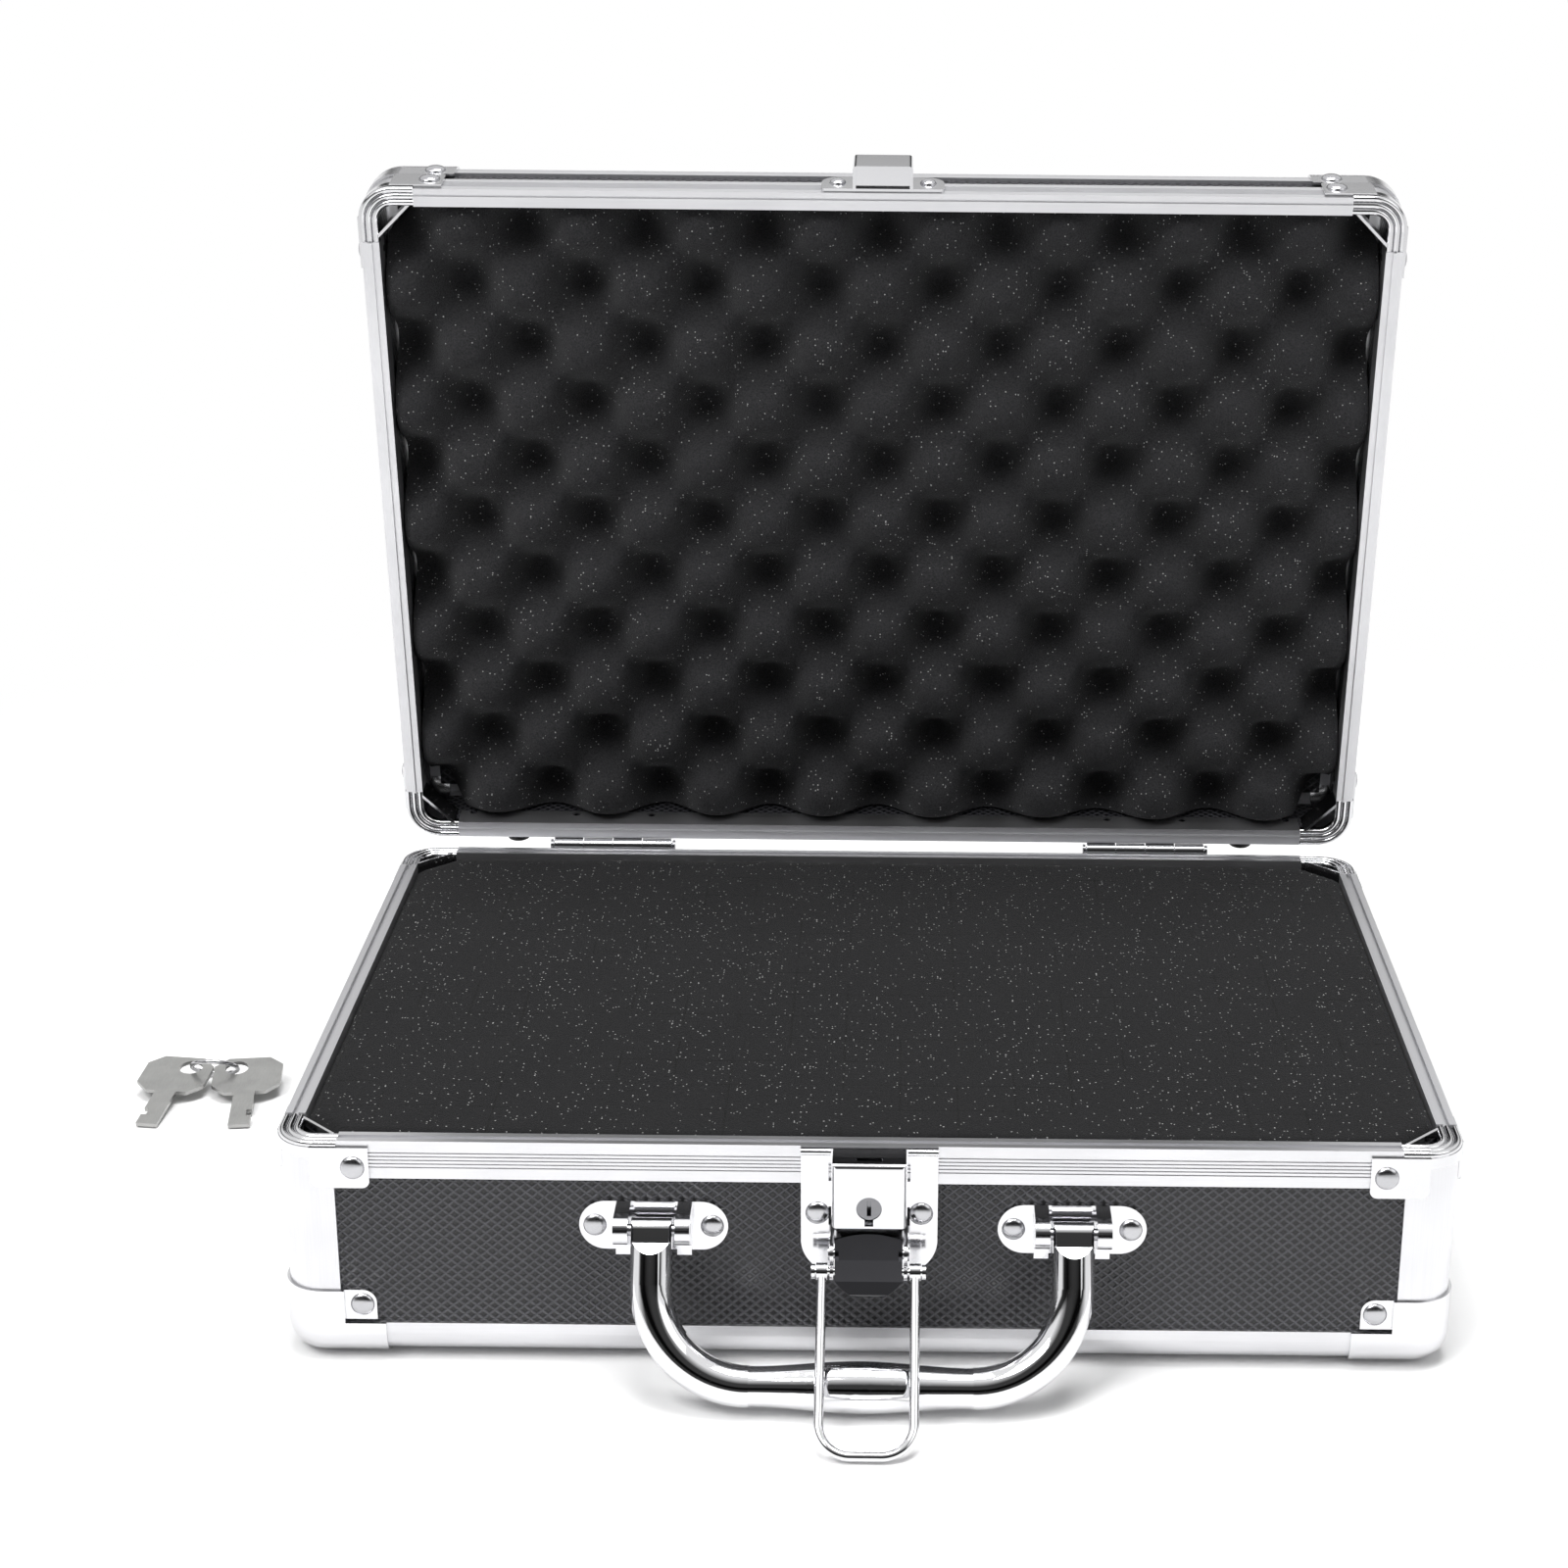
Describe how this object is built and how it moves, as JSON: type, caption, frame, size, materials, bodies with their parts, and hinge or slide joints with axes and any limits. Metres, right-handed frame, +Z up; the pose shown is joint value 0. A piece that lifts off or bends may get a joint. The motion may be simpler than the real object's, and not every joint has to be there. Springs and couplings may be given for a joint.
{
  "type": "aluminium tool case",
  "caption": "Small flat carrying case of black panels in aluminium trims with pressed metal corners, a hinged lid, foam linings, a chromed bow handle and a keyed bail latch.",
  "frame": {"origin": "middle of the case's footprint, on the surface it stands on", "axes": "+X to the right along the front, +Y from the front to the hinges, +Z up"},
  "size_m": [0.3803, 0.2858, 0.2824],
  "materials": {
    "barrel_steel": "nickel-plated",
    "base_foam": "charcoal open-cell foam, flat, pre-cut",
    "black_laminate": "black dimpled laminate on board",
    "corner_chrome": "nickel-plated pressed steel",
    "foot_rubber": "black moulded rubber",
    "handle_chrome": "chromed tube",
    "key_steel": "brushed nickel-plated steel",
    "latch_chrome": "nickel-plated pressed sheet",
    "lid_foam": "charcoal open-cell foam, convoluted face",
    "pin_steel": "plain steel",
    "ring_steel": "bright wire",
    "rivet_nickel": "bright nickel-plated domed head",
    "trim_aluminium": "satin anodised, extruded",
    "wire_chrome": "chromed wire"
  },
  "bodies": {
    "base": {"bail_axle": "pin_steel", "base_back_edge": "trim_aluminium", "base_back_panel": "black_laminate", "base_back_rim": "trim_aluminium", "base_ball_corners": "corner_chrome", "base_bottom_panel": "black_laminate", "base_corner_posts": "trim_aluminium", "base_corner_rivets": "rivet_nickel", "base_feet": "foot_rubber", "base_foam": "base_foam", "base_front_edge": "trim_aluminium", "base_front_panel": "black_laminate", "base_front_rim": "trim_aluminium", "base_hinge_leaves": "latch_chrome", "base_hinge_rivets": "rivet_nickel", "base_left_edge": "trim_aluminium", "base_left_panel": "black_laminate", "base_left_rim": "trim_aluminium", "base_right_edge": "trim_aluminium", "base_right_panel": "black_laminate", "base_right_rim": "trim_aluminium", "base_rim_corners": "corner_chrome", "bracket_rivets": "rivet_nickel", "handle_pins": "pin_steel", "hinge_pins": "pin_steel", "key_ring": "ring_steel", "latch_plate": "latch_chrome", "latch_rivets": "rivet_nickel", "left_handle_bracket": "latch_chrome", "left_key": "key_steel", "lever_pin": "pin_steel", "right_handle_bracket": "latch_chrome", "right_key": "key_steel"},
    "lid": {"catch_rivets": "rivet_nickel", "lid_back_edge": "trim_aluminium", "lid_back_panel": "black_laminate", "lid_back_rim": "trim_aluminium", "lid_ball_corners": "corner_chrome", "lid_catch": "latch_chrome", "lid_corner_posts": "trim_aluminium", "lid_corner_rivets": "rivet_nickel", "lid_feet": "foot_rubber", "lid_foam": "lid_foam", "lid_front_edge": "trim_aluminium", "lid_front_panel": "black_laminate", "lid_front_rim": "trim_aluminium", "lid_hinge_leaves": "latch_chrome", "lid_hinge_rivets": "rivet_nickel", "lid_left_edge": "trim_aluminium", "lid_left_panel": "black_laminate", "lid_left_rim": "trim_aluminium", "lid_right_edge": "trim_aluminium", "lid_right_panel": "black_laminate", "lid_right_rim": "trim_aluminium", "lid_rim_corners": "corner_chrome", "lid_top_panel": "black_laminate"},
    "handle": {"handle": "handle_chrome"},
    "lever": {"latch_lever": "latch_chrome"},
    "bail": {"latch_bail": "wire_chrome"},
    "lock": {"lock_barrel": "barrel_steel"}
  },
  "joints": [
    {"name": "lid_hinge", "type": "hinge", "parent": "base", "child": "lid", "pos_m": [0, 0.1076, 0.06265], "axis": [1, 0, 0], "range_deg": [-13, 81.85]},
    {"name": "handle_swing", "type": "hinge", "parent": "base", "child": "handle", "pos_m": [0, -0.11, 0.0409], "axis": [-1, 0, 0], "range_deg": [-18, 115]},
    {"name": "lever_swing", "type": "hinge", "parent": "base", "child": "lever", "pos_m": [0, -0.1134, 0.0366], "axis": [-1, 0, 0], "range_deg": [0, 115]},
    {"name": "bail_swing", "type": "hinge", "parent": "base", "child": "bail", "pos_m": [0, -0.11425, 0.032], "axis": [-1, 0, 0], "range_deg": [-21.5, 135.5]},
    {"name": "lock_turn", "type": "hinge", "parent": "base", "child": "lock", "pos_m": [0, -0.1125, 0.0489], "axis": [0, -1, 0], "range_deg": [0, 90]}
  ],
  "couplings": [
    {"joint": "bail_swing", "follows": "handle_swing", "ratio": 1.1742}
  ]
}
